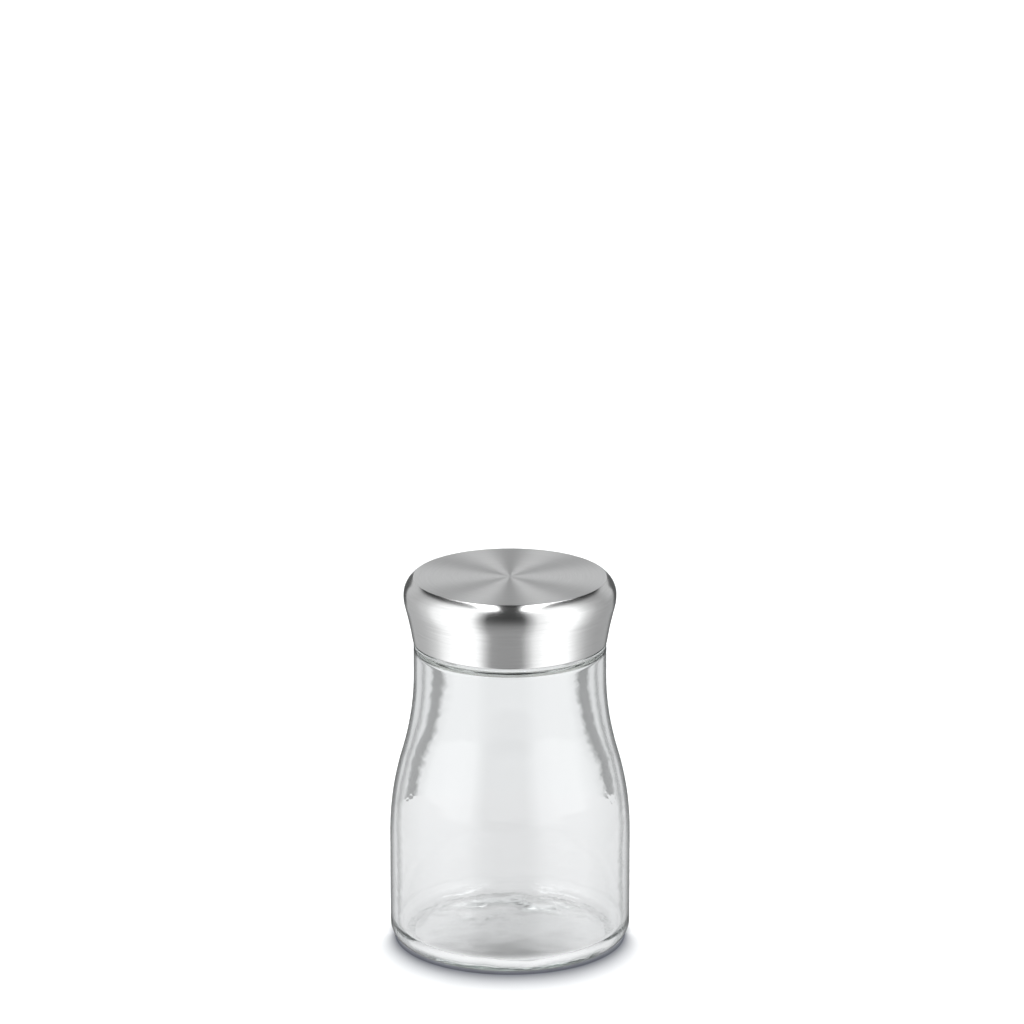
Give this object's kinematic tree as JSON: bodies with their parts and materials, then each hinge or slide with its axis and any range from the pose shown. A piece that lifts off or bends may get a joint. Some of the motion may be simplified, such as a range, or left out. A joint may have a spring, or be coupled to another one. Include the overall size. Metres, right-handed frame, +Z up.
{
  "type": "sugar jar",
  "caption": "Clear glass sugar jar with a waisted body, and a flared brushed-steel screw lid that unscrews and lifts off.",
  "frame": {"origin": "centre of the jar's resting plane, on its turning axis", "axes": "+Z up along the turning axis of the jar and lid; X and Y level, with the jar's mould seams on the X axis"},
  "size_m": [0.078, 0.078, 0.1222],
  "materials": {
    "clear_glass": "clear soda-lime glass, fire-polished",
    "brushed_steel": "circular brushed stainless steel",
    "natural_plastic": "moulded natural white polypropylene",
    "seal_silicone": "soft moulded white silicone"
  },
  "bodies": {
    "jar": {"glass_jar": "clear_glass"},
    "seal": {"sealing_disc": "seal_silicone"},
    "lid": {"lid_shell": "brushed_steel", "lid_insert": "natural_plastic"}
  },
  "joints": [
    {"name": "lid_rise", "type": "slide", "parent": "jar", "child": "seal", "axis": [0, 0, 1], "range_m": [0, 0.0241]},
    {"name": "lid_turn", "type": "hinge", "parent": "seal", "child": "lid", "pos_m": [0, 0, 0.1], "axis": [0, 0, 1], "range_deg": [0, 720]}
  ],
  "couplings": [
    {"joint": "lid_rise", "follows": "lid_turn", "m_per_rad": 0.0019099}
  ]
}
